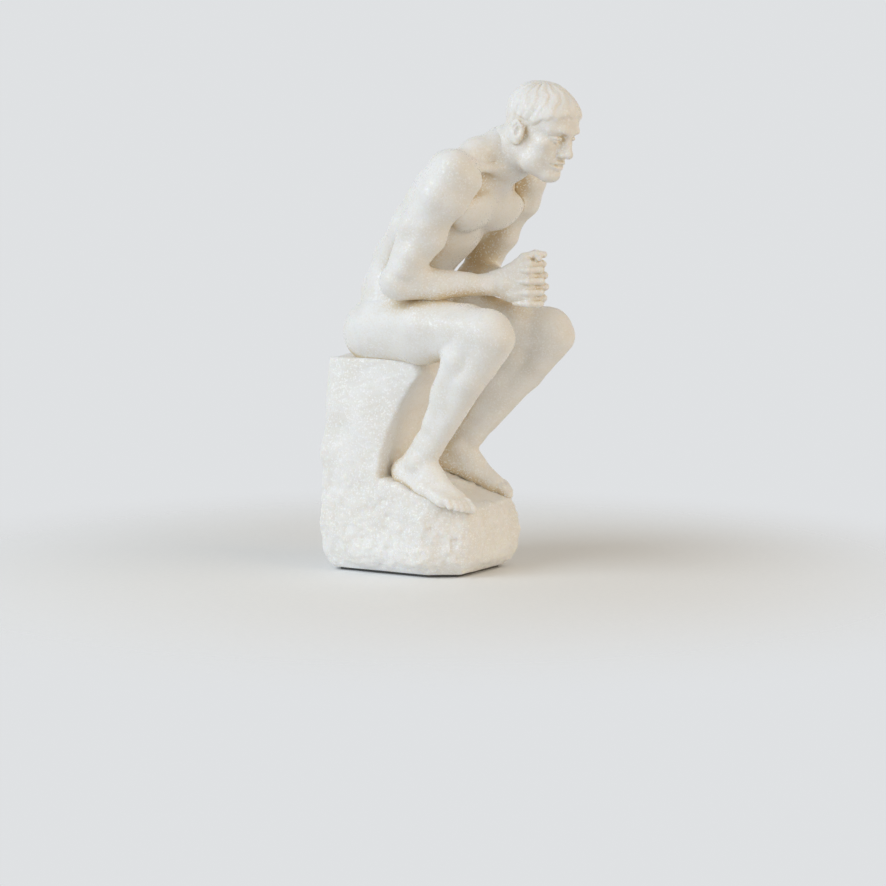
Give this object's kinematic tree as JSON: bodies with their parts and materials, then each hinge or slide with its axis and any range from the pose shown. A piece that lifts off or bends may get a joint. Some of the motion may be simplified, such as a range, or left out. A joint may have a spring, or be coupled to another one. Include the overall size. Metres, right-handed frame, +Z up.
{
  "type": "seated figure statue",
  "caption": "Desk ornament of a seated person lost in thought, hands clasped over the knees, on a hewn rock, cast in white marble resin sections joined with dowels.",
  "frame": {"origin": "middle of the rock's footprint on the underside of the felt pad", "axes": "+Z up, the figure faces -Y, and its right side is at -X"},
  "size_m": [0.0992, 0.1305, 0.2362],
  "materials": {
    "marble_resin": "white crystalline cast marble in resin, satin with fine sparkling grains",
    "dowel_steel": "plain round rod",
    "ballast_iron": "rough cast",
    "plate_plastic": "moulded, matt",
    "felt": "pressed felt"
  },
  "bodies": {
    "root": {"rock_base": "marble_resin", "torso": "marble_resin", "head": "marble_resin", "right_arm": "marble_resin", "left_arm": "marble_resin", "clasped_hands": "marble_resin", "right_leg": "marble_resin", "left_leg": "marble_resin", "neck_pin": "dowel_steel", "shoulder_pins": "dowel_steel", "wrist_pins": "dowel_steel", "hip_pins": "dowel_steel", "seat_pins": "dowel_steel", "sole_pins": "dowel_steel", "ballast": "ballast_iron", "closing_plate": "plate_plastic", "felt_pad": "felt"}
  },
  "joints": []
}
